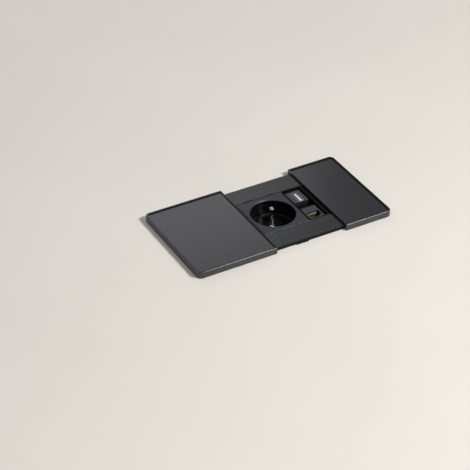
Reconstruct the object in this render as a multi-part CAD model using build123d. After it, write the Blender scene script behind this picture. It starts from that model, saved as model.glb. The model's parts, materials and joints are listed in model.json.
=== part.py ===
from build123d import *
import math
import os

# In-desk power module: a base plate let into a desk top, a mains socket and a data module in its
# window, two sliding lids that meet over them, and a closed housing underneath.
# Millimetres. Origin: centre of the base plate on the desk's surface. +X along the lids' slide,
# towards the data module, +Y away from the user, +Z up. The lids stand open, as modelled.

# Sliding lids
lid_depth = 97.8
left_lid_length = 75.5
right_lid_length = 46.7
left_lid_travel = 46.7
right_lid_travel = 21.4
lid_top_wall = 2.0
lid_side_wall = 1.8
lid_edge_radius = 0.7
lid_corner_radius = 4.5
lid_inner_corner_radius = 0.8
lid_seam_gap = 0.3
lid_running_gap = 0.35
lid_side_gap = 2.2
lid_end_gap = 0.5
lid_desk_gap = 0.5
lip_gap = 0.2
lip_tip_gap = 0.3
lip_stop_gap = 0.15

# Gasket and base plate
gasket_thickness = 0.4
gasket_tab_length = 12.0
gasket_tab_reach = 0.9
gasket_tab_x = -5.7
flange_thickness = 3.6
flange_corner_radius = 2.5
flange_edge_chamfer = 0.4
flange_overlap = 7.4
groove_sill = 0.8
groove_height = 1.4
groove_depth = 2.2
groove_end_wall = 1.8
collar_drop = 12.0
shell_wall = 2.0
collar_corner_radius = 4.0
flange_rib_count = 5
flange_rib_thickness = 1.2
flange_rib_height = 4.0
flange_rib_gap = 1.0
boss_width = 7.2
boss_inset = 4.6

# Module window
socket_side_rim = 2.5
module_end_rim = 4.6
data_width = 22.5
module_gap = 0.2
module_sink = 0.3
module_plate = 2.0
module_edge_radius = 0.35
window_ledge = 1.0
window_edge_chamfer = 0.3
release_slot_width = 8.0
release_slot_reach = 0.9
release_slot_spacing = 22.0
snap_leg_thickness = 1.1
snap_leg_drop = 5.6
snap_leg_side_gap = 0.4
snap_leg_inset = 0.2
snap_hook_reach = 1.4
snap_hook_lip = 0.4
snap_hook_height = 2.4
snap_gap = 0.1
carrier_hook_reach = 0.9
carrier_hook_length = 8.0

# Socket well and earth pin
well_diameter = 40.0
well_depth = 15.2
well_wall = 1.5
well_floor = 2.0
well_root_chamfer = 0.8
well_seat = 0.8
well_rim_chamfer = 0.4
socket_turn = -25.0
contact_pitch = 19.0
contact_hole_diameter = 5.6
earth_offset = 10.0
earth_pin_diameter = 4.8
earth_pin_height = 14.0
earth_tip_radius = 1.7
earth_shank_diameter = 4.0
earth_collar_diameter = 7.6
earth_collar_height = 1.4
earth_rivet_diameter = 5.4
earth_rivet_height = 0.8
pin_gap = 0.05
well_screw_diameter = 3.0
well_screw_length = 11.0
well_screw_head_diameter = 5.6
well_screw_head_height = 1.4

# Socket core
core_inset = 0.5
core_height = 20.0
core_web = 1.2
core_boss_radius = 2.6
back_cover_thickness = 2.0
back_cover_window = 5.6
part_gap = 0.3
wire_entry_width = 4.4

# Safety shutter and its spring
shutter_overlap = 0.5
shutter_wing_width = 7.2
shutter_crest = 0.5
shutter_toe = 0.4
shutter_bridge_depth = 3.0
shutter_bridge_height = 4.2
shutter_clear = 0.1
spring_length = 12.4
spring_diameter = 4.0
spring_wire = 0.5
spring_turns = 6
spring_steps = 12

# Contacts and terminals
leaf_thickness = 0.6
leaf_width = 6.0
leaf_opening = 4.7
cage_width = 6.6
cage_height = 8.0
cage_wall = 1.0
cage_side_offset = 2.0
cage_back_offset = 8.6
strap_thickness = 0.8
strap_width = 6.0
earth_cage_offset = 5.2
terminal_screw_diameter = 3.0
terminal_screw_length = 6.0
terminal_head_diameter = 5.0
terminal_head_height = 1.6

# Data carrier
recess_left_rim = 0.9
recess_side_rim = 0.8
recess_width = 16.8
recess_depth = 5.2
carrier_floor = 1.8
carrier_wall = 1.2

# Keystone modules
keystone_width = 14.5
keystone_face_depth = 17.2
keystone_end_gap = 2.8
keystone_sink = 1.4
keystone_edge_radius = 0.4
keystone_shoulder = 0.4
keystone_gap = 0.1
keystone_body_drop = 22.2
latch_thickness = 1.0
latch_slot = 0.8
latch_hook_reach = 1.0
latch_hook_height = 1.8
latch_root_drop = 13.0
latch_root_height = 3.0

# USB-A coupler
usb_length = 12.5
usb_height = 5.12
usb_offset_x = 0.3
usb_offset_y = -0.9
usb_shell_wall = 0.3
usb_shell_corner = 0.6
usb_shell_depth = 11.0
usb_fit = 0.05
usb_tongue_length = 11.1
usb_tongue_thickness = 1.84
usb_tongue_offset = 0.65
usb_tongue_setback = 0.5
usb_tongue_root = 2.0
usb_contact_width = 1.0
usb_contact_thickness = 0.25
usb_contact_setback = 1.2
usb_contact_places = (-3.5, -1.0, 1.0, 3.5)

# RJ45 jack
jack_width = 11.7
jack_height = 6.8
jack_wall_offset = 0.6
jack_depth = 14.0
jack_key_width = 6.0
jack_key_height = 1.5
jack_key_depth = 8.0
wire_count = 8
wire_pitch = 1.02
wire_width = 0.5
wire_thickness = 0.4
wire_setback = 1.6
wire_lean = 2.6
wire_slope_drop = 9.8
rear_cap_height = 7.0
rear_cap_inset = 0.9
rear_cap_slot_count = 4
rear_cap_slot_width = 1.0
rear_cap_slot_depth = 1.6
rear_cap_slot_height = 4.0

# Lower housing
housing_drop = 48.0
housing_floor = 2.2
housing_edge_chamfer = 1.2
housing_lip_height = 4.0
housing_lip_wall = 0.9
housing_lip_gap = 0.1
pillar_width = 8.8
partition_thickness = 1.4
partition_gap = 0.4
outlet_height = 14.5
data_outlet_width = 26.0
data_outlet_height = 14.0
data_outlet_radius = 3.0
housing_screw_diameter = 3.0
housing_screw_length = 16.0
housing_screw_grip = 8.0
housing_screw_head_diameter = 5.6
housing_screw_head_height = 2.2
housing_screw_clearance = 0.2
screw_gap = 0.05
screw_tip_room = 1.0
screw_slot_width = 0.9
screw_slot_depth = 0.8

# Leaf springs on the collar
clip_width = 10.0
clip_thickness = 0.6
clip_bow = 2.0
clip_height = 16.0
clip_tail = 2.0
clip_hook = 2.4
clip_slot_drop = 3.4
clip_gap = 0.15

# Cable gland
gland_thread_diameter = 16.0
gland_hex = 20.0
gland_hex_length = 4.0
gland_thread_length = 7.0
gland_nose_diameter = 14.4
gland_nose_length = 7.0
gland_bore_diameter = 9.0
gland_nut_length = 3.5
gland_seal_diameter = 11.6
gland_seal_bore = 8.0
gland_seal_length = 5.0
gland_cap_wall = 1.6
gland_cap_end = 1.8
gland_cap_edge = 1.2
gland_gap = 0.1

# Heights worked out from the stack
flange_bottom = gasket_thickness
flange_top = flange_bottom + flange_thickness
lid_underside = flange_top + lid_running_gap
lid_top = lid_underside + lid_top_wall
groove_bottom = flange_bottom + groove_sill
groove_top = groove_bottom + groove_height
module_face = flange_top - module_sink
module_seat = module_face - module_plate
well_top = module_seat + well_seat
well_floor_top = module_face - well_depth
core_top = well_floor_top - well_floor
core_bottom = core_top - core_height
back_cover_bottom = core_bottom - back_cover_thickness
recess_floor = module_face - recess_depth
carrier_bottom = recess_floor - carrier_floor
keystone_face = module_face - keystone_sink
keystone_bottom = recess_floor - keystone_body_drop
collar_bottom = -collar_drop
housing_bottom = -housing_drop
housing_floor_top = housing_bottom + housing_floor
outlet_z = housing_bottom + outlet_height
screw_seat = collar_bottom - housing_screw_grip

# Plan of the modules, worked out from the well
well_radius = well_diameter / 2
well_outer_radius = well_radius + well_wall
core_radius = well_outer_radius - core_inset
socket_width = well_diameter + 2 * socket_side_rim
module_depth = well_diameter + 2 * module_end_rim

# Plan of the base plate, worked out from the closed lids
flange_length = left_lid_length + right_lid_length + lid_seam_gap - 2 * (lid_side_wall + lid_end_gap)
flange_depth = lid_depth - 2 * (lid_side_wall + lid_side_gap)
flange_end = flange_length / 2
flange_side = flange_depth / 2
groove_end = flange_end - groove_end_wall
groove_back = flange_side - groove_depth
seam_x = (left_lid_length - right_lid_length) / 2
left_lid_inner = seam_x - lid_seam_gap / 2 - left_lid_travel
right_lid_inner = seam_x + lid_seam_gap / 2 + right_lid_travel
collar_length = flange_length - 2 * flange_overlap
collar_depth = flange_depth - 2 * flange_overlap
collar_side = collar_depth / 2
collar_inner_length = collar_length - 2 * shell_wall
collar_inner_depth = collar_depth - 2 * shell_wall
boss_x = collar_inner_length / 2 - boss_inset
boss_y = collar_inner_depth / 2 - boss_inset
corners = [(x, y) for x in (-boss_x, boss_x) for y in (-boss_y, boss_y)]
rib_step = 2 * boss_x / (flange_rib_count + 1)
rib_places = [-boss_x + rib_step * (index + 1) for index in range(flange_rib_count)]
clip_places = [-1.5 * rib_step, 1.5 * rib_step]

# Plan of the window and what fills it
socket_x = seam_x - socket_width / 2
window_left = seam_x - socket_width - module_gap
window_right = seam_x + data_width + module_gap
window_side = module_depth / 2 + module_gap
window_throat = window_side - window_ledge
release_slots = [socket_x - release_slot_spacing / 2, socket_x + release_slot_spacing / 2]
release_slot_side = window_side + release_slot_reach
snap_leg_inner = window_throat + snap_leg_inset
snap_leg_outer = snap_leg_inner + snap_leg_thickness
carrier_left = seam_x + module_gap
carrier_right = seam_x + data_width - module_gap
recess_left = carrier_left + recess_left_rim
recess_right = recess_left + recess_width
keystone_x = (recess_left + recess_right) / 2
keystone_y = module_depth / 2 - keystone_end_gap - keystone_face_depth / 2
keystone_reach = keystone_face_depth / 2 - keystone_shoulder - keystone_gap
keystone_front = keystone_reach - latch_thickness - latch_slot

# Ports inside the keystones
usb_middle = (keystone_face + keystone_bottom) / 2
usb_shell_bottom = keystone_face - usb_shell_depth
usb_tongue_left = keystone_x + usb_offset_x + usb_tongue_offset - usb_tongue_thickness / 2
jack_floor = keystone_face - jack_depth

# Socket, in its own turned axes: contacts along X, earth pin towards +Y
contact_x = contact_pitch / 2
contact_hole_radius = contact_hole_diameter / 2
shutter_half = contact_hole_radius + shutter_overlap
shutter_travel = shutter_half + contact_hole_radius + shutter_clear
shutter_top = core_top - part_gap / 2
shutter_bottom = shutter_top - 2 * shutter_half
shutter_back = -shutter_half - shutter_bridge_depth
shutter_reach = contact_x + shutter_wing_width / 2
cavity_floor = shutter_bottom - part_gap
contact_ceiling = cavity_floor - core_web
contact_top = contact_ceiling - part_gap
contact_bottom = core_bottom + part_gap + terminal_head_height
cage_x = contact_x + cage_side_offset
cage_y = -cage_back_offset
cage_half = cage_width / 2
cage_bottom = contact_bottom + leaf_thickness
cage_top = cage_bottom + cage_height
cage_middle = (cage_bottom + cage_top) / 2
strap_bottom = contact_ceiling - strap_thickness
earth_cage_y = earth_offset + earth_cage_offset
terminals = [(-cage_x, cage_y), (cage_x, cage_y), (0, earth_cage_y)]


def block(x0, x1, y0, y1, z0, z1):
    """A box between two corners."""
    corner = (Align.MIN, Align.MIN, Align.MIN)
    return Pos(x0, y0, z0) * Box(x1 - x0, y1 - y0, z1 - z0, align=corner)


def rounded_block(length, depth, radius, z0, z1):
    """An upright block with rounded vertical edges, about the Z axis."""
    return Pos(0, 0, z0) * extrude(RectangleRounded(length, depth, radius), amount=z1 - z0)


def centred_block(length, depth, z0, z1):
    """An upright block about the Z axis."""
    return block(-length / 2, length / 2, -depth / 2, depth / 2, z0, z1)


def disc(radius, z0, z1, x=0.0, y=0.0):
    """An upright cylinder between two heights."""
    base = (Align.CENTER, Align.CENTER, Align.MIN)
    return Pos(x, y, z0) * Cylinder(radius, z1 - z0, align=base)


def post(x, y, width, z0, z1):
    """An upright square post about the given place."""
    half = width / 2
    return block(x - half, x + half, y - half, y + half, z0, z1)


def rod_x(radius, x0, x1, z):
    """A cylinder along X, over the centre line."""
    base = (Align.CENTER, Align.CENTER, Align.MIN)
    return Pos(x0, 0, z) * Rot(0, 90, 0) * Cylinder(radius, x1 - x0, align=base)


def hexagon_x(across_flats, x0, x1, z):
    """A hexagonal prism along X, over the centre line."""
    outline = RegularPolygon(across_flats / 2, 6, major_radius=False)
    return Pos(x0, 0, z) * Rot(0, 90, 0) * extrude(outline, amount=x1 - x0)


def profile_x(points, x0, x1):
    """A closed outline of (y, z) points, drawn out along X."""
    outline = Polygon(*points, align=None)
    return Pos(x0, 0, 0) * extrude(Plane.YZ * outline, amount=x1 - x0, dir=(1, 0, 0))


def strip_x(points, width, thickness):
    """A folded strip: its centre line of (y, z) points lies in the YZ plane, its width along X."""
    path = Polyline(*[(0, y, z) for y, z in points])
    start = Plane(origin=path @ 0, x_dir=(1, 0, 0), z_dir=path % 0)
    return sweep(start * Rectangle(width, thickness), path=path, transition=Transition.RIGHT)


def both_sides(shape):
    """The shape and its mirror image across the centre line."""
    return [shape, mirror(shape, about=Plane.XZ)]


def at_socket(shape):
    """From the socket's own axes to its place in the base plate."""
    return Pos(socket_x, 0, 0) * Rot(0, 0, socket_turn) * shape


def slotted(head, z, direction, length, x=0.0, y=0.0):
    """A screw head with a driver slot cut into the face at height z."""
    depth = screw_slot_depth * direction
    z0, z1 = sorted((z, z + depth))
    half = screw_slot_width / 2
    return head - block(x - length / 2, x + length / 2, y - half, y + half, z0, z1)


def hexagon_head(width, z0, z1, x, y):
    """An upright hexagonal screw head, measured across its corners."""
    return Pos(x, y, z0) * extrude(RegularPolygon(width / 2, 6), amount=z1 - z0)


def lid(length, lip_length):
    """A lid with its open inner end at X = 0 and its closed end towards -X."""
    half = lid_depth / 2
    inner_half = half - lid_side_wall
    body = block(-length, 0, -half, half, lid_desk_gap, lid_top)
    body = fillet(body.edges().filter_by(Axis.Z).group_by(Axis.X)[0], lid_corner_radius)
    body = fillet(body.edges().filter_by(Axis.Z).group_by(Axis.X)[-1], lid_inner_corner_radius)
    body = fillet(body.faces().sort_by(Axis.Z)[-1].edges(), lid_edge_radius)
    hollow = block(lid_side_wall - length, length, -inner_half, inner_half, 0, lid_underside)
    hollow_corners = hollow.edges().filter_by(Axis.Z).group_by(Axis.X)[0]
    body -= fillet(hollow_corners, lid_corner_radius - lid_side_wall)
    lip_tip = groove_back + lip_tip_gap
    lip_root = half - lid_side_wall / 2
    lip = block(-lip_length, 0, lip_tip, lip_root, groove_bottom + lip_gap, groove_top - lip_gap)
    return body + both_sides(lip)


def make_left_lid():
    lip_length = left_lid_inner + groove_end - lip_stop_gap
    return Pos(left_lid_inner, 0, 0) * lid(left_lid_length, lip_length)


def make_right_lid():
    lip_length = groove_end - lip_stop_gap - right_lid_inner
    return Pos(right_lid_inner, 0, 0) * Rot(0, 0, 180) * lid(right_lid_length, lip_length)


def make_gasket():
    """Flat ring under the flange, with the small tab that shows at the near edge."""
    ring = rounded_block(flange_length, flange_depth, flange_corner_radius, 0, gasket_thickness)
    tab_left = gasket_tab_x - gasket_tab_length / 2
    tab_edge = -flange_side - gasket_tab_reach
    ring += block(tab_left, tab_left + gasket_tab_length, tab_edge, 0, 0, gasket_thickness)
    hole_length = collar_length + 2 * module_gap
    hole_depth = collar_depth + 2 * module_gap
    return ring - centred_block(hole_length, hole_depth, 0, gasket_thickness)


def make_base_plate():
    """Flange with the lids' grooves, module window, collar, ribs and screw bosses."""
    plate = rounded_block(flange_length, flange_depth, flange_corner_radius, flange_bottom, flange_top)
    plate = chamfer(plate.faces().sort_by(Axis.Z)[-1].edges(), flange_edge_chamfer)
    groove = block(-groove_end, groove_end, groove_back, flange_depth, groove_bottom, groove_top)
    plate -= both_sides(groove)
    plate -= block(window_left, window_right, -window_side, window_side, module_seat, lid_top)
    plate -= block(window_left, window_right, -window_throat, window_throat, 0, lid_top)
    half_slot = release_slot_width / 2
    for x in release_slots:
        plate -= both_sides(block(x - half_slot, x + half_slot, 0, release_slot_side, 0, lid_top))
    window_edge = plate.faces().sort_by(Axis.Z)[-1].inner_wires()[0].edges()
    plate = chamfer(window_edge, window_edge_chamfer)
    collar = rounded_block(collar_length, collar_depth, collar_corner_radius, collar_bottom, flange_bottom)
    collar -= centred_block(collar_inner_length, collar_inner_depth, collar_bottom, flange_bottom)
    collar -= lip_block(housing_lip_gap, collar_bottom)
    for x in clip_places:
        collar -= both_sides(clip_slot(x))
    plate += collar
    rib_start = snap_leg_outer + snap_hook_reach + flange_rib_gap
    rib_end = collar_side - shell_wall / 2
    rib_half = flange_rib_thickness / 2
    rib_bottom = flange_bottom - flange_rib_height
    for x in rib_places:
        plate += both_sides(block(x - rib_half, x + rib_half, rib_start, rib_end, rib_bottom, flange_bottom))
    for x, y in corners:
        plate += post(x, y, boss_width, collar_bottom, flange_bottom)
        pilot_top = screw_seat + housing_screw_length + screw_tip_room
        plate -= disc(housing_screw_diameter / 2 + screw_gap / 2, collar_bottom, pilot_top, x, y)
    return plate


def lip_block(gap, bottom):
    """Full outline of the housing's lip, which stands up inside the collar's rebate, grown by a gap."""
    margin = 2 * (housing_lip_wall + gap)
    radius = collar_corner_radius - shell_wall + housing_lip_wall + gap
    top = collar_bottom + housing_lip_height + gap
    return rounded_block(collar_inner_length + margin, collar_inner_depth + margin, radius, bottom, top)


def clip_slot(x):
    """Slot through the collar's far wall for a leaf spring's hook."""
    half = clip_width / 2 + clip_gap
    z1 = -clip_slot_drop + clip_thickness / 2 + clip_gap
    z0 = -clip_slot_drop - clip_thickness / 2 - clip_gap
    return block(x - half, x + half, collar_side - 2 * shell_wall, collar_side + shell_wall, z0, z1)


def make_leaf_spring(x):
    """Bowed strip that hooks through the collar's far wall and presses on the cut-out's wall."""
    seat = clip_thickness / 2 + clip_gap
    inside = collar_side - shell_wall - seat
    outside = collar_side + seat
    top = -clip_slot_drop
    points = [
        (inside, top - clip_hook),
        (inside, top),
        (outside, top),
        (outside + clip_bow, top - clip_height / 2),
        (outside, top - clip_height),
        (outside, top - clip_height - clip_tail),
    ]
    return Pos(x, 0, 0) * strip_x(points, clip_width, clip_thickness)


def snap_hook(y, z, reach, height, x0, x1):
    """Ramped hook that grips under an edge at height z."""
    root = y - snap_leg_thickness / 2
    top = z - snap_gap
    tip = y + reach
    points = [(root, top), (tip, top), (tip, top - snap_hook_lip), (y, top - height), (root, top - height)]
    return profile_x(points, x0, x1)


def make_socket_faceplate():
    """Square plate with the well's opening and four snap legs."""
    left = socket_x - socket_width / 2 + module_gap
    right = socket_x + socket_width / 2 - module_gap
    half_depth = module_depth / 2
    plate = block(left, right, -half_depth, half_depth, module_seat, module_face)
    plate = fillet(plate.faces().sort_by(Axis.Z)[-1].edges(), module_edge_radius)
    plate -= disc(well_radius, module_seat, module_face, socket_x)
    rim = plate.edges().filter_by(GeomType.CIRCLE).group_by(Axis.Z)[-1]
    plate = chamfer(rim, well_rim_chamfer)
    plate -= disc(well_outer_radius + module_gap, module_seat, well_top, socket_x)
    leg_half = release_slot_width / 2 - snap_leg_side_gap
    leg_bottom = module_seat - snap_leg_drop
    for x in release_slots:
        x0 = x - leg_half
        x1 = x + leg_half
        leg = block(x0, x1, snap_leg_inner, snap_leg_outer, leg_bottom, well_top)
        leg += snap_hook(snap_leg_outer, flange_bottom, snap_hook_reach, snap_hook_height, x0, x1)
        plate += both_sides(leg)
    return plate


def make_socket_well():
    """Round cup with the two contact holes, the earth pin's hole and a countersunk centre."""
    well = disc(well_outer_radius, core_top, well_top)
    cup = disc(well_radius, well_floor_top, well_top)
    cup = chamfer(cup.edges().filter_by(GeomType.CIRCLE).group_by(Axis.Z)[0], well_root_chamfer)
    well -= cup
    for x in (-contact_x, contact_x):
        well -= disc(contact_hole_radius, core_top, well_floor_top, x)
    well -= disc(earth_pin_diameter / 2 + pin_gap, core_top, well_floor_top, 0, earth_offset)
    well -= disc(well_screw_diameter / 2 + screw_gap, core_top, well_floor_top)
    well -= screw_cone(screw_gap)
    return at_socket(well)


def screw_cone(gap):
    """Countersunk head of the centre screw, flush with the well's floor."""
    head = Cone(
        well_screw_diameter / 2 + gap, well_screw_head_diameter / 2 + gap, well_screw_head_height + gap / 2
    )
    return Pos(0, 0, well_floor_top - (well_screw_head_height + gap / 2) / 2) * head


def make_well_screw():
    """Countersunk screw that holds the well on the core."""
    screw = screw_cone(0)
    head_bottom = well_floor_top - well_screw_head_height
    screw += disc(well_screw_diameter / 2, well_floor_top - well_screw_length, head_bottom)
    length = well_screw_head_diameter
    return at_socket(slotted(screw, well_floor_top, -1, length))


def make_earth_pin():
    """Round-nosed pin with a collar under the well's floor and a riveted end below the strap."""
    pin = disc(earth_pin_diameter / 2, core_top, well_floor_top + earth_pin_height)
    pin = fillet(pin.edges().filter_by(GeomType.CIRCLE).group_by(Axis.Z)[-1], earth_tip_radius)
    pin += disc(earth_collar_diameter / 2, core_top - earth_collar_height, core_top)
    pin += disc(earth_shank_diameter / 2, strap_bottom, core_top)
    pin += disc(earth_rivet_diameter / 2, strap_bottom - earth_rivet_height, strap_bottom)
    return at_socket(Pos(0, earth_offset, 0) * pin)


def make_shutter():
    """Two wedges on one bar: a plug's pins push the wedges aside, the spring brings them back."""
    wedge = [
        (-shutter_half, shutter_top),
        (-shutter_half + shutter_crest, shutter_top),
        (shutter_half, shutter_bottom + shutter_toe),
        (shutter_half, shutter_bottom),
        (-shutter_half, shutter_bottom),
    ]
    wing_half = shutter_wing_width / 2
    bridge_top = shutter_bottom + shutter_bridge_height
    bar_front = -shutter_half + shutter_crest
    shutter = block(-shutter_reach, shutter_reach, shutter_back, bar_front, shutter_bottom, bridge_top)
    for x in (-contact_x, contact_x):
        shutter += profile_x(wedge, x - wing_half, x + wing_half)
    return at_socket(shutter)


def make_shutter_spring():
    """Compression spring between the shutter's bar and the end of its pocket, in short straight steps."""
    run = spring_length - spring_wire
    reach = (spring_diameter - spring_wire) / 2
    middle = shutter_bottom + shutter_bridge_height / 2
    count = spring_turns * spring_steps
    points = []
    for index in range(count + 1):
        angle = 2 * math.pi * index / spring_steps
        y = shutter_back - spring_wire / 2 - run * index / count
        points.append((reach * math.cos(angle), y, middle + reach * math.sin(angle)))
    coil = Polyline(*points)
    wire = Plane(origin=coil @ 0, z_dir=coil % 0) * RegularPolygon(spring_wire / 2, 6)
    return at_socket(sweep(wire, path=coil, transition=Transition.RIGHT))


def make_socket_core():
    """Round insulating body: shutter cavity on top, contact and terminal pockets from the back."""
    core = disc(core_radius, core_bottom, core_top)
    side = shutter_reach + part_gap
    front = shutter_half + part_gap
    back = shutter_back - shutter_travel - part_gap
    core -= block(-side, side, back, front, cavity_floor, core_top)
    pocket_half = spring_diameter / 2 + part_gap
    core -= block(-pocket_half, pocket_half, shutter_back - spring_length, back, cavity_floor, core_top)
    core += disc(core_boss_radius, cavity_floor, core_top)
    pilot_bottom = well_floor_top - well_screw_length - screw_tip_room
    core -= disc(well_screw_diameter / 2 + screw_gap / 2, pilot_bottom, core_top)
    pocket_inner = contact_x - leaf_opening / 2 - leaf_thickness - part_gap
    pocket_outer = cage_x + cage_half + part_gap
    pocket_back = cage_y - cage_half - part_gap
    pocket_front = leaf_width / 2 + part_gap
    for direction in (-1, 1):
        x0, x1 = sorted((direction * pocket_inner, direction * pocket_outer))
        core -= block(x0, x1, pocket_back, pocket_front, core_bottom, contact_ceiling)
        core -= disc(contact_hole_radius, contact_ceiling, cavity_floor, direction * contact_x)
        core -= wire_entry(direction * cage_x, cage_y, -1)
    earth_half = cage_half + part_gap
    earth_front = earth_cage_y + cage_half + part_gap
    earth_back = earth_offset - strap_width / 2 - part_gap
    core -= block(-earth_half, earth_half, earth_back, earth_front, core_bottom, contact_ceiling)
    core -= disc(earth_shank_diameter / 2 + pin_gap, contact_ceiling, core_top, 0, earth_offset)
    collar_seat = core_top - earth_collar_height
    core -= disc(earth_collar_diameter / 2 + module_gap, collar_seat, core_top, 0, earth_offset)
    core -= wire_entry(0, earth_cage_y, 1)
    return at_socket(core)


def wire_entry(x, y, direction):
    """Square hole from the core's side to a terminal cage."""
    half = wire_entry_width / 2
    y0, y1 = sorted((y, y + direction * core_radius))
    return block(x - half, x + half, y0, y1, cage_middle - half, cage_middle + half)


def make_back_cover():
    """Disc that closes the core's pockets, with a window under each terminal screw."""
    cover = disc(core_radius, back_cover_bottom, core_bottom)
    for x, y in terminals:
        cover -= post(x, y, back_cover_window, back_cover_bottom, core_bottom)
    return at_socket(cover)


def cage(x, y, z0, z1):
    """Square terminal cage, open along Y, with the screw's thread through its lower wall."""
    box = block(x - cage_half, x + cage_half, y - cage_half, y + cage_half, z0, z1)
    inner = cage_half - cage_wall
    box -= block(x - inner, x + inner, y - cage_width, y + cage_width, z0 + cage_wall, z1 - cage_wall)
    return box


def screw_hole(x, y):
    return disc(terminal_screw_diameter / 2 + screw_gap / 2, core_bottom, cage_middle, x, y)


def make_contact(direction):
    """Sprung U of two leaves round the plug's pin, with a strap to its terminal cage."""
    inner = leaf_opening / 2
    outer = inner + leaf_thickness
    half = leaf_width / 2
    x = direction * contact_x
    clip = block(x - outer, x - inner, -half, half, contact_bottom, contact_top)
    clip += block(x + inner, x + outer, -half, half, contact_bottom, contact_top)
    clip += block(x - outer, x + outer, -half, half, contact_bottom, cage_bottom)
    terminal_x = direction * cage_x
    strap_left = min(x - outer, terminal_x - cage_half)
    strap_right = max(x + outer, terminal_x + cage_half)
    clip += block(strap_left, strap_right, cage_y - cage_half, -half, contact_bottom, cage_bottom)
    clip += cage(terminal_x, cage_y, cage_bottom, cage_top)
    return at_socket(clip - screw_hole(terminal_x, cage_y))


def make_earth_strap():
    """Flat strap riveted to the earth pin, with its terminal cage."""
    half = strap_width / 2
    strap = block(-half, half, earth_offset - half, earth_cage_y + cage_half, strap_bottom, contact_ceiling)
    strap += cage(0, earth_cage_y, cage_bottom, strap_bottom)
    strap -= disc(earth_shank_diameter / 2 + pin_gap, strap_bottom, contact_ceiling, 0, earth_offset)
    rivet_room = earth_rivet_diameter / 2 + pin_gap
    strap -= disc(rivet_room, strap_bottom - earth_rivet_height - pin_gap, strap_bottom, 0, earth_offset)
    return at_socket(strap - screw_hole(0, earth_cage_y))


def make_terminal_screws():
    """Three screws, one under each terminal cage."""
    screws = []
    head_bottom = core_bottom + part_gap
    head_top = head_bottom + terminal_head_height
    for x, y in terminals:
        screw = hexagon_head(terminal_head_diameter, head_bottom, head_top, x, y)
        screw += disc(terminal_screw_diameter / 2, head_top, head_top + terminal_screw_length, x, y)
        screws.append(at_socket(slotted(screw, head_bottom, 1, terminal_head_diameter, x, y)))
    return Compound(children=screws)


def make_data_carrier():
    """Sunken tray with a thin rim and two openings for keystone modules."""
    half_depth = module_depth / 2
    tray_half = window_throat - module_gap
    tray_right = recess_right + carrier_wall
    tray = block(carrier_left, carrier_right, -half_depth, half_depth, module_seat, module_face)
    tray = fillet(tray.faces().sort_by(Axis.Z)[-1].edges(), module_edge_radius)
    tray += block(carrier_left, tray_right, -tray_half, tray_half, carrier_bottom, module_seat)
    rim_half = half_depth - recess_side_rim
    tray -= block(recess_left, recess_right, -rim_half, rim_half, module_seat, module_face)
    inner_half = tray_half - carrier_wall
    tray -= block(recess_left, recess_right, -inner_half, inner_half, recess_floor, module_face)
    opening_left = keystone_x - keystone_width / 2 - keystone_gap
    opening_right = keystone_x + keystone_width / 2 + keystone_gap
    opening_y = keystone_face_depth / 2 - keystone_shoulder
    for y in (-keystone_y, keystone_y):
        tray -= block(opening_left, opening_right, y - opening_y, y + opening_y, carrier_bottom, recess_floor)
    hook_left = (carrier_left + carrier_right - carrier_hook_length) / 2
    hook_right = hook_left + carrier_hook_length
    hook = snap_hook(tray_half, flange_bottom, carrier_hook_reach, snap_hook_height, hook_left, hook_right)
    return tray + both_sides(hook)


def keystone(y):
    """Blank keystone module at the given place: face block, body, fixed ridge and sprung latch."""
    half = keystone_width / 2
    half_face = keystone_face_depth / 2
    face = block(-half, half, -half_face, half_face, recess_floor, keystone_face)
    face = fillet(face.faces().sort_by(Axis.Z)[-1].edges(), keystone_edge_radius)
    body = face + block(-half, half, -keystone_reach, keystone_front, keystone_bottom, recess_floor)
    latch = half / 2
    latch_inner = keystone_reach - latch_thickness
    latch_top = recess_floor - keystone_gap
    root_bottom = carrier_bottom - latch_root_drop
    root_top = root_bottom + latch_root_height
    body += block(-latch, latch, latch_inner, keystone_reach, root_bottom, latch_top)
    body += block(-latch, latch, keystone_front, keystone_reach, root_bottom, root_top)
    hook = snap_hook(keystone_reach, carrier_bottom, latch_hook_reach, latch_hook_height, -latch, latch)
    return Pos(keystone_x, y, 0) * (body + both_sides(hook))


def usb_outline(margin):
    """Outline of the USB opening with its corners cut, grown by a margin."""
    outline = Rectangle(usb_height + 2 * margin, usb_length + 2 * margin)
    outline = chamfer(outline.vertices(), usb_shell_corner)
    return Pos(keystone_x + usb_offset_x, keystone_y + usb_offset_y, 0) * outline


def usb_rear(shape):
    """The rear receptacle is the front one's mirror image."""
    return mirror(shape, about=Plane.XY.offset(usb_middle))


def make_usb_keystone():
    """Keystone body with a pocket for each receptacle and a slot for the contact strips."""
    body = keystone(keystone_y)
    pocket = Pos(0, 0, usb_shell_bottom) * extrude(
        usb_outline(usb_shell_wall + usb_fit), amount=usb_shell_depth + usb_fit
    )
    body = body - pocket - usb_rear(pocket)
    for place in usb_contact_places:
        body -= usb_strip(place, usb_fit)
    return body


def usb_strip(place, fit):
    """One contact strip, from the front tongue through the body to the rear tongue."""
    y = keystone_y + usb_offset_y + place
    half = usb_contact_width / 2 + fit
    top = keystone_face - usb_contact_setback
    bottom = keystone_bottom + usb_contact_setback
    left = usb_tongue_left - usb_contact_thickness - fit
    return block(left, usb_tongue_left + fit, y - half, y + half, bottom, top)


def make_usb_shell():
    """Thin metal sleeve, flush with the keystone's face."""
    sleeve = extrude(usb_outline(usb_shell_wall), amount=usb_shell_depth)
    opening = extrude(usb_outline(0), amount=usb_shell_depth)
    return Pos(0, 0, usb_shell_bottom) * (sleeve - opening)


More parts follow.
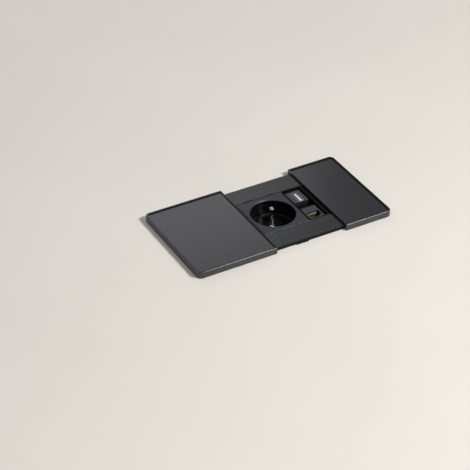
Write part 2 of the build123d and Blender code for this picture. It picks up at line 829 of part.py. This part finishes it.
def make_usb_tongue():
    """Plastic tongue on a root block that fills the sleeve's inner end."""
    root = Pos(0, 0, usb_shell_bottom) * extrude(usb_outline(-usb_fit), amount=usb_tongue_root)
    y = keystone_y + usb_offset_y
    half = usb_tongue_length / 2
    right = usb_tongue_left + usb_tongue_thickness
    tip = keystone_face - usb_tongue_setback
    root += block(usb_tongue_left, right, y - half, y + half, usb_shell_bottom, tip)
    for place in usb_contact_places:
        root -= usb_strip(place, 0)
    return root


def make_usb_contacts():
    """Four contact strips side by side."""
    return Compound(children=[usb_strip(place, 0) for place in usb_contact_places])


def make_rj45_keystone():
    """Keystone body with the jack's opening and the notch for the plug's latch."""
    body = keystone(-keystone_y)
    half = jack_width / 2
    far = -keystone_y + jack_wall_offset
    near = far - jack_height
    body -= block(keystone_x - half, keystone_x + half, near, far, jack_floor, keystone_face)
    key_left = keystone_x - jack_key_width / 2
    key_right = key_left + jack_key_width
    key_floor = keystone_face - jack_key_depth
    body -= block(key_left, key_right, near - jack_key_height, near, key_floor, keystone_face)
    return body


def make_rj45_contacts():
    """Eight sprung wires that lean out from the jack's far wall."""
    start = -keystone_y + jack_wall_offset - wire_thickness / 2
    top = keystone_face - wire_setback
    points = [
        (start, top),
        (start - wire_lean, top - wire_slope_drop),
        (start - wire_lean, jack_floor),
    ]
    wire = strip_x(points, wire_width, wire_thickness)
    first = keystone_x - wire_pitch * (wire_count - 1) / 2
    return Compound(children=[Pos(first + wire_pitch * index, 0, 0) * wire for index in range(wire_count)])


def make_rj45_rear_cap():
    """Wiring cap on the jack's back, with slots for the cores down both sides."""
    half_x = keystone_width / 2 - rear_cap_inset
    y0 = -keystone_y - keystone_reach + rear_cap_inset
    y1 = -keystone_y + keystone_front - rear_cap_inset
    bottom = keystone_bottom - rear_cap_height
    cap = block(keystone_x - half_x, keystone_x + half_x, y0, y1, bottom, keystone_bottom)
    step = 2 * half_x / rear_cap_slot_count
    for index in range(rear_cap_slot_count):
        x = keystone_x - half_x + step * (index + 0.5)
        x0 = x - rear_cap_slot_width / 2
        x1 = x + rear_cap_slot_width / 2
        cap -= block(x0, x1, y0, y0 + rear_cap_slot_depth, bottom, bottom + rear_cap_slot_height)
        cap -= block(x0, x1, y1 - rear_cap_slot_depth, y1, bottom, bottom + rear_cap_slot_height)
    return cap


def make_housing():
    """Lower housing: lip that fits the collar, screw pillars, partition, gland hole and data outlet."""
    shell = rounded_block(collar_length, collar_depth, collar_corner_radius, housing_bottom, collar_bottom)
    shell = chamfer(shell.faces().sort_by(Axis.Z)[0].edges(), housing_edge_chamfer)
    shell += lip_block(0, housing_floor_top)
    lip_top = collar_bottom + housing_lip_height
    shell -= centred_block(collar_inner_length, collar_inner_depth, housing_floor_top, lip_top)
    for x, y in corners:
        shell += pillar(x, y)
    left = socket_x + well_outer_radius + partition_gap
    right = left + partition_thickness
    wall_y = collar_inner_depth / 2
    shell += block(left, right, -wall_y, wall_y, housing_floor_top, lip_top)
    outlet = Plane.YZ * RectangleRounded(data_outlet_width, data_outlet_height, data_outlet_radius)
    shell -= Pos(0, 0, outlet_z) * extrude(outlet, amount=collar_length)
    shell -= rod_x(gland_thread_diameter / 2 + gland_gap, -collar_length, -collar_inner_length / 2, outlet_z)
    for x, y in corners:
        head_room = housing_screw_head_diameter + 2 * housing_screw_clearance
        shell -= post(x, y, head_room, housing_bottom, screw_seat)
        shell -= disc(housing_screw_diameter / 2 + housing_screw_clearance, screw_seat, collar_bottom, x, y)
    return shell


def pillar(x, y):
    """Screw pillar that fills its corner of the housing."""
    half = pillar_width / 2
    wall_x = (collar_length - shell_wall) / 2
    wall_y = (collar_depth - shell_wall) / 2
    x0, x1 = (x - half, wall_x) if x > 0 else (-wall_x, x + half)
    y0, y1 = (y - half, wall_y) if y > 0 else (-wall_y, y + half)
    return block(x0, x1, y0, y1, housing_bottom + housing_floor / 2, collar_bottom)


def make_housing_screws():
    """Four screws from below, through the pillars into the base plate's bosses."""
    screws = []
    head_bottom = screw_seat - housing_screw_head_height
    for x, y in corners:
        screw = hexagon_head(housing_screw_head_diameter, head_bottom, screw_seat, x, y)
        screw += disc(housing_screw_diameter / 2, screw_seat, screw_seat + housing_screw_length, x, y)
        screws.append(slotted(screw, head_bottom, 1, housing_screw_head_diameter, x, y))
    return Compound(children=screws)


# Gland stations along X, from the housing's end wall outwards
gland_wall_outer = -collar_length / 2
gland_wall_inner = gland_wall_outer + shell_wall
gland_hex_end = gland_wall_outer - gland_hex_length
gland_nose_end = gland_hex_end - gland_nose_length
gland_seal_inner = gland_nose_end + gland_seal_length
gland_cap_start = gland_hex_end - gland_gap
gland_cap_outer = gland_nose_end - gland_gap - gland_cap_end


def make_gland_body():
    """Threaded tube with a hexagon outside the wall and a nose that holds the seal."""
    thread_end = gland_wall_outer + gland_thread_length
    body = hexagon_x(gland_hex, gland_hex_end, gland_wall_outer, outlet_z)
    body += rod_x(gland_thread_diameter / 2, gland_wall_outer, thread_end, outlet_z)
    body += rod_x(gland_nose_diameter / 2, gland_nose_end, gland_hex_end, outlet_z)
    body -= rod_x(gland_bore_diameter / 2, gland_nose_end, thread_end, outlet_z)
    body -= rod_x(gland_seal_diameter / 2 + pin_gap, gland_nose_end, gland_seal_inner, outlet_z)
    return body


def make_gland_locknut():
    nut = hexagon_x(gland_hex, gland_wall_inner, gland_wall_inner + gland_nut_length, outlet_z)
    hole = gland_thread_diameter / 2 + pin_gap
    return nut - rod_x(hole, gland_wall_inner, gland_wall_inner + gland_nut_length, outlet_z)


def make_gland_seal():
    seal = rod_x(gland_seal_diameter / 2, gland_nose_end, gland_seal_inner, outlet_z)
    return seal - rod_x(gland_seal_bore / 2, gland_nose_end, gland_seal_inner, outlet_z)


def make_gland_cap():
    """Hexagonal dome nut over the nose."""
    across_flats = gland_nose_diameter + 2 * gland_cap_wall + 2 * gland_gap
    cap = hexagon_x(across_flats, gland_cap_outer, gland_cap_start, outlet_z)
    round_over = rod_x(across_flats / 2 + gland_gap, gland_cap_outer, gland_cap_start, outlet_z)
    outer_edge = round_over.edges().filter_by(GeomType.CIRCLE).sort_by(Axis.X)[0]
    cap = cap & chamfer(outer_edge, gland_cap_edge)
    cap -= rod_x(gland_nose_diameter / 2 + gland_gap, gland_nose_end - gland_gap, gland_cap_start, outlet_z)
    return cap - rod_x(gland_bore_diameter / 2, gland_cap_outer, gland_nose_end, outlet_z)


def make_nodes():
    """Every piece of the module, by its name."""
    nodes = {
        "base_plate": make_base_plate(),
        "flange_gasket": make_gasket(),
        "left_lid": make_left_lid(),
        "right_lid": make_right_lid(),
        "socket_faceplate": make_socket_faceplate(),
        "socket_well": make_socket_well(),
        "well_screw": make_well_screw(),
        "earth_pin": make_earth_pin(),
        "safety_shutter": make_shutter(),
        "shutter_spring": make_shutter_spring(),
        "socket_core": make_socket_core(),
        "socket_back_cover": make_back_cover(),
        "neutral_contact": make_contact(-1),
        "live_contact": make_contact(1),
        "earth_strap": make_earth_strap(),
        "terminal_screws": make_terminal_screws(),
        "data_carrier": make_data_carrier(),
        "usb_keystone": make_usb_keystone(),
        "usb_front_shell": make_usb_shell(),
        "usb_rear_shell": usb_rear(make_usb_shell()),
        "usb_front_tongue": make_usb_tongue(),
        "usb_rear_tongue": usb_rear(make_usb_tongue()),
        "usb_contacts": make_usb_contacts(),
        "rj45_keystone": make_rj45_keystone(),
        "rj45_contacts": make_rj45_contacts(),
        "rj45_rear_cap": make_rj45_rear_cap(),
        "lower_housing": make_housing(),
        "housing_screws": make_housing_screws(),
        "gland_body": make_gland_body(),
        "gland_locknut": make_gland_locknut(),
        "gland_seal": make_gland_seal(),
        "gland_cap": make_gland_cap(),
    }
    for side, x in zip(("left", "right"), clip_places):
        far = make_leaf_spring(x)
        nodes[f"leaf_spring_far_{side}"] = far
        nodes[f"leaf_spring_near_{side}"] = mirror(far, about=Plane.XZ)
    return nodes


os.makedirs("parts", exist_ok=True)
for name, shape in make_nodes().items():
    export_step(shape, f"parts/{name}.step")
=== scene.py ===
import json
import math

import bmesh
import bpy
from mathutils import Matrix, Vector


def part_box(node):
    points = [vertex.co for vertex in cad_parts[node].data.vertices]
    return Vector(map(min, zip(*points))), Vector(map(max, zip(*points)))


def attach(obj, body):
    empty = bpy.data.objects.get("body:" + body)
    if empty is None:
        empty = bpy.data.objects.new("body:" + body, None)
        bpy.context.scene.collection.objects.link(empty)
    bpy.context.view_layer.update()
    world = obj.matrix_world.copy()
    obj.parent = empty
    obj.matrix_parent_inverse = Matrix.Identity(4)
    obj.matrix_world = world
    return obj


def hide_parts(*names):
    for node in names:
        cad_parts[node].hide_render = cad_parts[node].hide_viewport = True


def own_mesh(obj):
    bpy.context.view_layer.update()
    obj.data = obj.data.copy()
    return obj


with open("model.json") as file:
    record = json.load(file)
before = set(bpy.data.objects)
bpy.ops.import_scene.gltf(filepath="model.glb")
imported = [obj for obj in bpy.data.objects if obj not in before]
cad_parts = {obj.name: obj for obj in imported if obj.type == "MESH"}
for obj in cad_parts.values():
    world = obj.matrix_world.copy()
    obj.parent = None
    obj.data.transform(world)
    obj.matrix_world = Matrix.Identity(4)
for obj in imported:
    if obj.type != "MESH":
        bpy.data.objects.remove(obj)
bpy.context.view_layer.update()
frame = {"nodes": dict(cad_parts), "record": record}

scene = bpy.context.scene
nodes = frame["nodes"]
MM = 0.001

# Camera at the photograph's place, in the part's frame
CAMERA_PLACE = Vector((-0.66812, -1.06930, 0.88402))
CAMERA_RIGHT = Vector((0.868317, -0.495878, 0.011462))
CAMERA_DOWN = Vector((-0.281668, -0.511979, -0.811505))
CAMERA_FORWARD = Vector((0.408276, 0.701415, -0.584233))
SENSOR_WIDTH = 36.0
FOCAL_LENGTH = 136.04
NEAREST, FARTHEST = 0.01, 30.0

camera_axes = Matrix((CAMERA_RIGHT, -CAMERA_DOWN, -CAMERA_FORWARD)).transposed().to_4x4()
camera_data = bpy.data.cameras.new("camera")
camera_data.sensor_width = SENSOR_WIDTH
camera_data.lens = FOCAL_LENGTH
camera_data.clip_start = NEAREST
camera_data.clip_end = FARTHEST
camera = bpy.data.objects.new("camera", camera_data)
camera.matrix_world = Matrix.Translation(CAMERA_PLACE) @ camera_axes
scene.collection.objects.link(camera)
scene.camera = camera
scene.view_settings.view_transform = "Standard"
scene.view_settings.look = "None"


# Shader nodes
def mapped(tree, source, source_range, result_range=(0.0, 1.0)):
    """The source carried from one range to another, and held at the ends."""
    node = tree.nodes.new("ShaderNodeMapRange")
    names = ("From Min", "From Max", "To Min", "To Max")
    for name, value in zip(names, (*source_range, *result_range)):
        node.inputs[name].default_value = value
    tree.links.new(source, node.inputs["Value"])
    return node.outputs["Result"]


def z_of(tree, vector):
    split = tree.nodes.new("ShaderNodeSeparateXYZ")
    tree.links.new(vector, split.inputs["Vector"])
    return split.outputs["Z"]


def height(tree):
    """How high a point lies, in metres."""
    return z_of(tree, tree.nodes.new("ShaderNodeTexCoord").outputs["Object"])


def levelness(tree):
    """How far a face looks up: 1 on a level top, 0 on an upright side."""
    return z_of(tree, tree.nodes.new("ShaderNodeNewGeometry").outputs["Normal"])


def banded(tree, source, stops):
    """A grey value that runs straight from stop to stop, given as (place, value)."""
    node = tree.nodes.new("ShaderNodeValToRGB")
    elements = node.color_ramp.elements
    for element, (place, value) in zip(elements, (stops[0], stops[-1])):
        element.position = place
        element.color = (value, value, value, 1.0)
    for place, value in stops[1:-1]:
        elements.new(place).color = (value, value, value, 1.0)
    tree.links.new(source, node.inputs["Fac"])
    return node.outputs["Color"]


def blend(tree, kind, low, high, factor):
    """Between low at factor 0 and high at factor 1, where either can be a value or a socket."""
    node = tree.nodes.new("ShaderNodeMix")
    node.data_type = kind
    for name, source in (("A", low), ("B", high)):
        if isinstance(source, bpy.types.NodeSocket):
            tree.links.new(source, node.inputs[name])
        else:
            node.inputs[name].default_value = source
    tree.links.new(factor, node.inputs["Factor"])
    return node.outputs["Result"]


class Shader:
    """A principled material with helpers for the procedural nodes behind its sockets."""

    def __init__(self, name, color, roughness, metallic=0.0, specular=0.5):
        self.material = bpy.data.materials.new(name)
        self.material.use_nodes = True
        self.tree = self.material.node_tree
        self.surface = self.tree.nodes["Principled BSDF"]
        self.surface.inputs["Base Color"].default_value = (*color, 1.0)
        self.surface.inputs["Roughness"].default_value = roughness
        self.surface.inputs["Metallic"].default_value = metallic
        self.surface.inputs["Specular IOR Level"].default_value = specular
        self.place = self.tree.nodes.new("ShaderNodeTexCoord")
        self.last_normal = None

    def noise(self, scale, detail=2.0, stretch=(1.0, 1.0, 1.0), rough=0.5):
        """Noise over the part's own place, with features about 1 / scale metres wide."""
        mapping = self.tree.nodes.new("ShaderNodeMapping")
        mapping.inputs["Scale"].default_value = stretch
        self.tree.links.new(self.place.outputs["Object"], mapping.inputs["Vector"])
        texture = self.tree.nodes.new("ShaderNodeTexNoise")
        texture.inputs["Scale"].default_value = scale
        texture.inputs["Detail"].default_value = detail
        texture.inputs["Roughness"].default_value = rough
        self.tree.links.new(mapping.outputs["Vector"], texture.inputs["Vector"])
        return texture.outputs["Fac"]

    def spread(self, source, low, high):
        """A noise's middle values spread between two values."""
        return mapped(self.tree, source, (0.35, 0.65), (low, high))

    def tint(self, source, low, high):
        """The surface's colour, between two colours."""
        factor = self.spread(source, 0.0, 1.0)
        color = blend(self.tree, "RGBA", (*low, 1.0), (*high, 1.0), factor)
        self.tree.links.new(color, self.surface.inputs["Base Color"])

    def roughen(self, source, low, high):
        self.tree.links.new(self.spread(source, low, high), self.surface.inputs["Roughness"])

    def bump(self, source, depth, strength=1.0):
        """Relief of the given depth in metres, on top of any relief before it."""
        node = self.tree.nodes.new("ShaderNodeBump")
        node.inputs["Strength"].default_value = strength
        node.inputs["Distance"].default_value = depth
        self.tree.links.new(source, node.inputs["Height"])
        if self.last_normal is not None:
            self.tree.links.new(self.last_normal, node.inputs["Normal"])
        self.last_normal = node.outputs["Normal"]
        self.tree.links.new(self.last_normal, self.surface.inputs["Normal"])


def shade(color, factor):
    return tuple(channel * factor for channel in color)


# Kinds of material
def moulded(
    name,
    color,
    roughness,
    grain=1800.0,
    relief=0.00002,
    specular=0.5,
    spread=0.12,
    streaks=(1.0, 1.0, 1.0),
):
    """Moulded plastic: spark-eroded grain, a faint mottle and slight changes of gloss."""
    made = Shader(name, color, roughness, specular=specular)
    mottle = made.noise(90.0, 4.0, stretch=streaks)
    made.tint(mottle, shade(color, 1.0 - spread), shade(color, 1.0 + spread))
    made.roughen(made.noise(420.0, 3.0), roughness - 0.015, roughness + 0.015)
    made.bump(made.noise(grain, 3.0, rough=0.6), relief)
    return made.material


def glossy(name, color, roughness, relief=0.000006, specular=0.5):
    """Polished plastic with the faint waves and hairlines that wiping leaves."""
    made = Shader(name, color, roughness, specular=specular)
    made.tint(made.noise(120.0, 3.0), shade(color, 0.85), shade(color, 1.15))
    made.roughen(made.noise(500.0, 4.0), roughness - 0.03, roughness + 0.06)
    made.bump(made.noise(140.0, 1.0), relief * 3.0, 0.5)
    made.bump(made.noise(2500.0, 2.0), relief, 0.5)
    return made.material


def metal(name, color, roughness, drawn=(1.0, 1.0, 0.08), relief=0.000008, metallic=1.0):
    """Drawn or stamped metal: fine lines one way, a little tarnish."""
    made = Shader(name, color, roughness, metallic=metallic)
    made.tint(made.noise(350.0, 4.0), shade(color, 0.82), color)
    made.roughen(made.noise(900.0, 3.0, stretch=drawn), roughness - 0.06, roughness + 0.12)
    made.bump(made.noise(2600.0, 2.0, stretch=drawn), relief)
    return made.material


def rubber(name, color):
    made = Shader(name, color, 0.78, specular=0.3)
    made.tint(made.noise(200.0, 5.0), shade(color, 0.7), shade(color, 1.4))
    made.roughen(made.noise(700.0, 3.0), 0.7, 0.86)
    made.bump(made.noise(3200.0, 3.0), 0.00003)
    return made.material


# Changes to a finished material
def matt_sides_painted_shade(material, painted_side_shade, side_roughness=0.9):
    """Painted shade and a matt finish wherever a face isn't level: sides and chamfers are
    darkened to stand in for the shade on edges and in narrow gaps.
    """
    tree = material.node_tree
    level = mapped(tree, levelness(tree), (0.75, 0.95))
    sides = (("Base Color", "RGBA", (*painted_side_shade, 1.0)), ("Roughness", "FLOAT", side_roughness))
    for name, kind, side in sides:
        socket = tree.nodes["Principled BSDF"].inputs[name]
        tree.links.new(blend(tree, kind, side, socket.links[0].from_socket, level), socket)
    return material


def broad_edges(material, share):
    """Rougher by a share where a face rounds over, so that an edge's highlight is a soft line."""
    tree = material.node_tree
    roughness = tree.nodes["Principled BSDF"].inputs["Roughness"]
    scaled = tree.nodes.new("ShaderNodeMath")
    scaled.operation = "MULTIPLY"
    stops = ((0.15, 1.0), (0.35, share), (0.9, share), (0.97, 1.0))
    tree.links.new(roughness.links[0].from_socket, scaled.inputs[0])
    tree.links.new(banded(tree, levelness(tree), stops), scaled.inputs[1])
    tree.links.new(scaled.outputs["Value"], roughness)
    return material


def dusty_root(material, bottom, top, roughness, dust_roughness):
    """Matt in a band just above the floor of a well, where dust settles in the corner."""
    tree = material.node_tree
    stops = ((0.0, roughness), (0.04, dust_roughness), (0.5, dust_roughness), (1.0, roughness))
    band = banded(tree, mapped(tree, height(tree), (bottom, top)), stops)
    tree.links.new(band, tree.nodes["Principled BSDF"].inputs["Roughness"])
    return material


def painted_shade_below(material, top, bottom, painted_depth_shade):
    """Fading to a darker colour between two heights: painted shade that darkens the wires deeper
    in the port.
    """
    tree = material.node_tree
    socket = tree.nodes["Principled BSDF"].inputs["Base Color"]
    bright = mapped(tree, height(tree), (bottom, top))
    color = blend(tree, "RGBA", (*painted_depth_shade, 1.0), socket.links[0].from_socket, bright)
    tree.links.new(color, socket)
    return material


# Materials of the record's slots, and three nodes that look different from their slot
finishes = {
    "lid_plastic": broad_edges(
        moulded(
            "lid_plastic",
            (0.0155, 0.0153, 0.018),
            0.24,
            relief=0.000003,
            specular=0.85,
            spread=0.07,
        ),
        share=1.2,
    ),
    # Base plate: its sides, chamfers and gap walls carry painted shade.
    "base_plastic": matt_sides_painted_shade(
        moulded(
            "base_plastic",
            (0.014, 0.0145, 0.016),
            0.34,
            relief=0.000006,
            specular=0.75,
            spread=0.3,
            streaks=(0.12, 4.0, 1.0),
        ),
        painted_side_shade=(0.008, 0.0075, 0.007),
    ),
    "module_plastic": moulded(
        "module_plastic", (0.029, 0.029, 0.031), 0.42, grain=2200.0, relief=0.000008
    ),
    "well_plastic": dusty_root(
        glossy("well_plastic", (0.004, 0.004, 0.005), 0.2, relief=0.000001, specular=0.3),
        bottom=-11.5 * MM,
        top=-9.5 * MM,
        roughness=0.2,
        dust_roughness=0.8,
    ),
    "carrier_plastic": moulded(
        "carrier_plastic", (0.002, 0.002, 0.002), 0.6, relief=0.000008, specular=0.15
    ),
    # Keystones: their sides are painted near black as shade round each face.
    "keystone_plastic": matt_sides_painted_shade(
        moulded("keystone_plastic", (0.041, 0.041, 0.044), 0.42, grain=2600.0, relief=0.000008),
        painted_side_shade=(0.002, 0.002, 0.002),
    ),
    "core_plastic": moulded("core_plastic", (0.020, 0.020, 0.022), 0.55),
    "housing_plastic": moulded(
        "housing_plastic", (0.016, 0.016, 0.018), 0.55, grain=1200.0, relief=0.00004
    ),
    "gland_plastic": moulded("gland_plastic", (0.014, 0.014, 0.015), 0.45),
    "white_plastic": glossy("white_plastic", (0.70, 0.70, 0.73), 0.3),
    "black_rubber": rubber("black_rubber", (0.010, 0.010, 0.011)),
    "brass": metal("brass", (0.72, 0.53, 0.24), 0.3),
    # Gold wires: painted shade darkens them below the port's mouth.
    "gold_wire": painted_shade_below(
        metal("gold_wire", (1.0, 0.90, 0.56), 0.25, metallic=0.35),
        top=0.6 * MM,
        bottom=-0.9 * MM,
        painted_depth_shade=(0.09, 0.07, 0.025),
    ),
    "nickel": metal("nickel", (0.66, 0.64, 0.60), 0.22),
    "spring_steel": metal("spring_steel", (0.50, 0.50, 0.51), 0.3, drawn=(0.08, 1.0, 1.0)),
    "zinc_steel": metal("zinc_steel", (0.58, 0.60, 0.63), 0.34, drawn=(1.0, 1.0, 1.0)),
}
own_finishes = {
    "earth_pin": metal(
        "pin_nickel", (0.62, 0.61, 0.58), 0.16, drawn=(1.0, 1.0, 0.05), relief=0.000002
    ),
    "usb_front_shell": metal("shell_nickel", (0.58, 0.58, 0.59), 0.22),
    "usb_contacts": metal("contact_plate", (0.92, 0.88, 0.80), 0.28),
}
for entry in frame["record"]["subparts"]:
    data = nodes[entry["node"]].data
    data.materials.clear()
    data.materials.append(own_finishes.get(entry["node"], finishes[entry["material_slot"]]))


# Lids with a raised rim round a slightly sunk field
RIM_WIDTH = 1.7 * MM
SEAM_RIM_WIDTH = 0.95 * MM
RIM_STEP = 1.0 * MM
RIM_DRAFT = 0.1 * MM
FIELD_CORNER = 2.8 * MM
SEAM_CORNER = 0.5 * MM
CORNER_STEPS = 8
SHARP_ANGLE = math.radians(22)
LEVEL_NORMAL = 0.999
TOP_LAYER = 0.01 * MM
SAME_POINT = 0.001 * MM


def field_outline(low, high, slope, outer_sign, z):
    """Points round the field, anticlockwise, with tight corners and a thin rim at the seam.

    The slope is how far the rim's inner wall has come inwards at this height.
    """
    points = []
    for quarter in range(4):
        start = math.pi / 2 * quarter
        sign_x = 1 if quarter in (0, 3) else -1
        sign_y = 1 if quarter in (0, 1) else -1
        at_outer_end = sign_x == outer_sign
        radius = FIELD_CORNER if at_outer_end else SEAM_CORNER
        end_rim = RIM_WIDTH if at_outer_end else SEAM_RIM_WIDTH
        centre_x = (high.x if sign_x > 0 else low.x) - sign_x * (end_rim + slope + radius)
        centre_y = (high.y if sign_y > 0 else low.y) - sign_y * (RIM_WIDTH + slope + radius)
        for step in range(CORNER_STEPS + 1):
            angle = start + math.pi / 2 * step / CORNER_STEPS
            x = centre_x + radius * math.cos(angle)
            y = centre_y + radius * math.sin(angle)
            points.append((x, y, z))
    return points


def rimmed_lid(node, outer_sign):
    """The CAD lid with its flat top cut back to a rim, an inner wall and a lower field."""
    source = nodes[node].data
    low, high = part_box(node)
    form = bmesh.new()
    corners = [form.verts.new(vertex.co) for vertex in source.vertices]
    for polygon in source.polygons:
        form.faces.new([corners[index] for index in polygon.vertices])
    bmesh.ops.remove_doubles(form, verts=form.verts, dist=SAME_POINT)
    form.normal_update()
    top = []
    for face in form.faces:
        at_top = face.calc_center_median().z > high.z - TOP_LAYER
        if at_top and face.normal.z > LEVEL_NORMAL:
            top.append(face)
    plate = bmesh.ops.dissolve_faces(form, faces=top)["region"][0]
    border = list(plate.edges)
    bmesh.ops.delete(form, geom=[plate], context="FACES_ONLY")

    rings = []
    for slope, z in ((0.0, high.z), (RIM_DRAFT, high.z - RIM_STEP)):
        outline = field_outline(low, high, slope, outer_sign, z)
        rings.append([form.verts.new(point) for point in outline])
    land, foot = rings
    for index in range(len(land)):
        after = (index + 1) % len(land)
        border.append(form.edges.new((land[index], land[after])))
        wall = form.faces.new((land[index], land[after], foot[after], foot[index]))
        # The rim's inner wall takes the black carrier plastic: painted shade along the wall.
        wall.material_index = 1
    bmesh.ops.triangle_fill(form, edges=border, use_beauty=True)
    form.faces.new(foot)
    bmesh.ops.recalc_face_normals(form, faces=form.faces)
    for face in form.faces:
        face.smooth = True
    for edge in form.edges:
        edge.smooth = edge.is_manifold and edge.calc_face_angle() < SHARP_ANGLE

    mesh = bpy.data.meshes.new(f"{node}_rimmed")
    form.to_mesh(mesh)
    form.free()
    mesh.materials.append(finishes["lid_plastic"])
    # The second slot, black carrier plastic, is the wall's painted shade.
    mesh.materials.append(finishes["carrier_plastic"])
    lid = bpy.data.objects.new(f"{node}_rimmed", mesh)
    scene.collection.objects.link(lid)
    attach(lid, node)
    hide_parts(node)


rimmed_lid("left_lid", outer_sign=-1)
rimmed_lid("right_lid", outer_sign=1)


# The shutter's return spring: a round wire coil with closed ends
SOCKET_CENTRE = Vector((-8.1, 0.0, -18.15)) * MM
SLIDE = Vector((-0.42261826, -0.90630779, 0.0))
COIL_START = 6.3 * MM
COIL_LENGTH = 12.4 * MM
COIL_RADIUS = 1.75 * MM
WIRE_RADIUS = 0.25 * MM
WIRE_ROUNDNESS = 3
COIL_TURNS = 6
END_TURNS = 0.75
TURN_STEPS = 24


def coil_advance(turn):
    """How far along its axis the wire has come after that many turns."""
    run = COIL_LENGTH - 2 * WIRE_RADIUS
    closed = 2 * WIRE_RADIUS * END_TURNS
    if turn < END_TURNS:
        return 2 * WIRE_RADIUS * turn
    if turn > COIL_TURNS - END_TURNS:
        return run - 2 * WIRE_RADIUS * (COIL_TURNS - turn)
    return closed + (run - 2 * closed) * (turn - END_TURNS) / (COIL_TURNS - 2 * END_TURNS)


def make_coil():
    across = Vector((-SLIDE.y, SLIDE.x, 0.0))
    upright = Vector((0.0, 0.0, 1.0))
    curve = bpy.data.curves.new("shutter_coil", "CURVE")
    curve.dimensions = "3D"
    curve.bevel_depth = WIRE_RADIUS
    curve.bevel_resolution = WIRE_ROUNDNESS
    curve.use_fill_caps = True
    wire = curve.splines.new("POLY")
    count = COIL_TURNS * TURN_STEPS
    wire.points.add(count)
    for index in range(count + 1):
        turn = index / TURN_STEPS
        angle = 2 * math.pi * turn
        place = SOCKET_CENTRE + SLIDE * (COIL_START + WIRE_RADIUS + coil_advance(turn))
        place += (across * math.cos(angle) + upright * math.sin(angle)) * COIL_RADIUS
        wire.points[index].co = (*place, 1.0)
    drawn = bpy.data.objects.new("shutter_coil_line", curve)
    scene.collection.objects.link(drawn)
    bpy.context.view_layer.update()
    evaluated = drawn.evaluated_get(bpy.context.evaluated_depsgraph_get())
    mesh = bpy.data.meshes.new_from_object(evaluated)
    bpy.data.objects.remove(drawn)
    for face in mesh.polygons:
        face.use_smooth = True
    mesh.materials.clear()
    mesh.materials.append(finishes["spring_steel"])
    coil = bpy.data.objects.new("shutter_coil", mesh)
    scene.collection.objects.link(coil)
    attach(coil, "base")
    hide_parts("shutter_spring")
    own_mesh(coil)


make_coil()


# Stage: a pale floor at the desk's height, with the cut-out under the flange
FLOOR_REACH = 4.0
HOUSING_ROOM = 1.5 * MM
SPRING_ROOM = 4.0 * MM
FLOOR_COLOR = (0.80, 0.76, 0.70)


def rectangle(x, y):
    return [(-x, -y, 0.0), (x, -y, 0.0), (x, y, 0.0), (-x, y, 0.0)]


def make_floor():
    _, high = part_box("lower_housing")
    outer = rectangle(FLOOR_REACH, FLOOR_REACH)
    inner = rectangle(high.x + HOUSING_ROOM, high.y + SPRING_ROOM)
    faces = []
    for index in range(4):
        after = (index + 1) % 4
        faces.append((index, after, 4 + after, 4 + index))
    mesh = bpy.data.meshes.new("floor")
    mesh.from_pydata(outer + inner, [], faces)
    floor = bpy.data.objects.new("floor", mesh)
    scene.collection.objects.link(floor)
    made = Shader("floor", FLOOR_COLOR, 0.6, specular=0.2)
    made.tint(made.noise(6.0), (0.79, 0.75, 0.69), (0.81, 0.77, 0.71))
    made.roughen(made.noise(30.0), 0.56, 0.66)
    mesh.materials.append(made.material)


make_floor()


# Lights
def area_light(name, place, size, power, color=(1.0, 1.0, 1.0)):
    """A rectangular light that shines on the part's origin."""
    data = bpy.data.lights.new(name, "AREA")
    data.shape = "RECTANGLE"
    data.size, data.size_y = size
    data.energy = power
    data.color = color
    light = bpy.data.objects.new(name, data)
    light.location = place
    light.rotation_euler = (-Vector(place)).to_track_quat("-Z", "Y").to_euler()
    scene.collection.objects.link(light)


area_light("key", (0.75, -1.05, 1.25), (0.36, 0.36), power=30.0, color=(1.0, 0.985, 0.96))
area_light("back", (0.06, 0.85, 0.50), (0.92, 0.44), power=1.2, color=(0.93, 0.93, 1.0))
area_light("fill", (-1.2, -0.6, 1.4), (1.4, 1.4), power=6.0)

# The world's strength changes between two upward parts of a direction: (from, to), (strengths)
OVERHEAD = (0.12, 0.48), (0.03, 0.22)
UNDERNEATH = (-0.3, -0.02), (1.3, 0.0)
WORLD_COLOR = (0.93, 0.95, 1.0, 1.0)


def make_world():
    """A studio that is dim along the horizon, brighter overhead, and lit for views from below."""
    world = bpy.data.worlds.new("studio")
    world.use_nodes = True
    tree = world.node_tree
    background = tree.nodes["Background"]
    background.inputs["Color"].default_value = WORLD_COLOR
    upward = z_of(tree, tree.nodes.new("ShaderNodeTexCoord").outputs["Generated"])
    both = tree.nodes.new("ShaderNodeMath")
    both.operation = "ADD"
    for slot, (directions, strengths) in enumerate((OVERHEAD, UNDERNEATH)):
        tree.links.new(mapped(tree, upward, directions, strengths), both.inputs[slot])
    tree.links.new(both.outputs["Value"], background.inputs["Strength"])
    scene.world = world


make_world()
